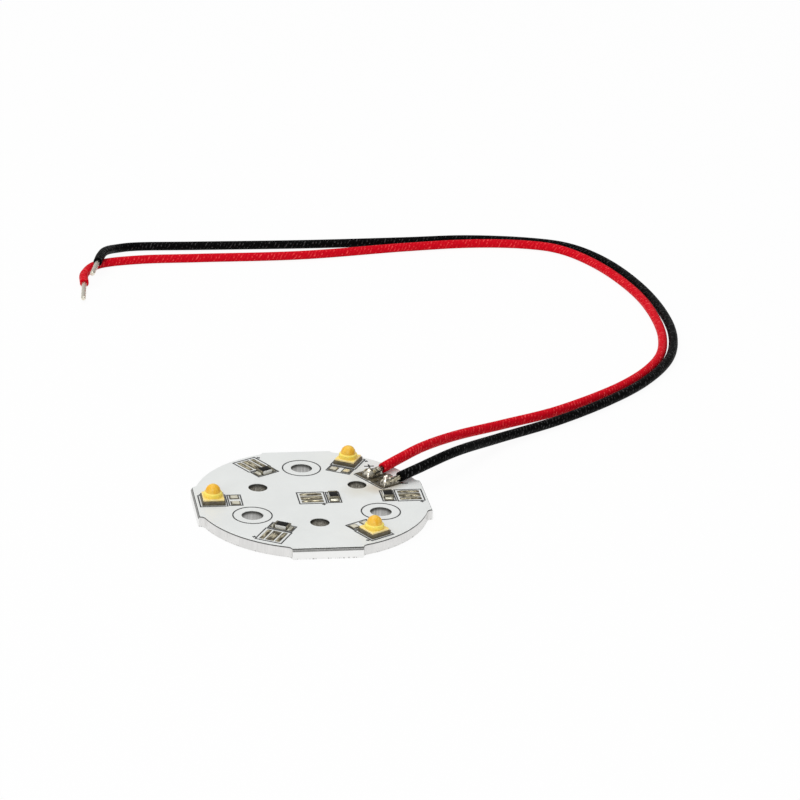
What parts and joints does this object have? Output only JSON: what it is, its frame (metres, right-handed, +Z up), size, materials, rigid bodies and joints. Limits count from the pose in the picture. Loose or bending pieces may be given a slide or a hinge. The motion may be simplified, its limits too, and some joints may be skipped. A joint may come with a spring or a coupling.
{
  "type": "led array",
  "caption": "Round white LED board on an aluminium core, with domed LEDs, chip links, screw holes and a pair of soldered leads for its supply.",
  "frame": {"origin": "on the table under the centre of the round board, at the plane of its underside", "axes": "+Z up through the board, +X towards the straight edge nearest the lead pads, +Y away from the viewer of the picture"},
  "size_m": [0.087, 0.1143, 0.0039],
  "materials": {
    "bare_aluminium": "milled edges, plain underside",
    "insulating_layer": "dark filled resin",
    "copper": "plain copper under the mask",
    "white_mask": "satin white",
    "tinned_pad": "reflowed tin, slightly uneven",
    "black_ink": "printed",
    "led_ceramic": "dark, fine-grained",
    "led_converter": "yellow",
    "led_silicone": "moulded, glossy",
    "link_ceramic": "white, fine-grained",
    "link_overcoat": "black glaze",
    "tinned_cap": "bright tin",
    "solder": "bright, flowed",
    "tinned_strands": "tinned, twisted",
    "red_insulation": "glossy, with the lay of the strands showing",
    "black_insulation": "glossy, with the lay of the strands showing"
  },
  "bodies": {
    "root": {"base_plate": "bare_aluminium", "dielectric_layer": "insulating_layer", "copper_tracks": "copper", "solder_mask": "white_mask", "led_pads": "tinned_pad", "link_pads": "tinned_pad", "lead_pads": "tinned_pad", "printed_marks": "black_ink", "led_base_1": "led_ceramic", "led_base_2": "led_ceramic", "led_base_3": "led_ceramic", "led_die_1": "led_converter", "led_die_2": "led_converter", "led_die_3": "led_converter", "led_lens_1": "led_silicone", "led_lens_2": "led_silicone", "led_lens_3": "led_silicone", "link_body_1": "link_ceramic", "link_body_2": "link_ceramic", "link_body_3": "link_ceramic", "link_body_4": "link_ceramic", "link_overcoat_1": "link_overcoat", "link_overcoat_2": "link_overcoat", "link_overcoat_3": "link_overcoat", "link_overcoat_4": "link_overcoat", "link_caps_1": "tinned_cap", "link_caps_2": "tinned_cap", "link_caps_3": "tinned_cap", "link_caps_4": "tinned_cap", "link_solder": "solder", "red_joint": "solder", "black_joint": "solder", "red_tail": "tinned_strands", "black_tail": "tinned_strands", "red_lead": "red_insulation", "black_lead": "black_insulation", "red_tip": "tinned_strands", "black_tip": "tinned_strands"}
  },
  "joints": []
}
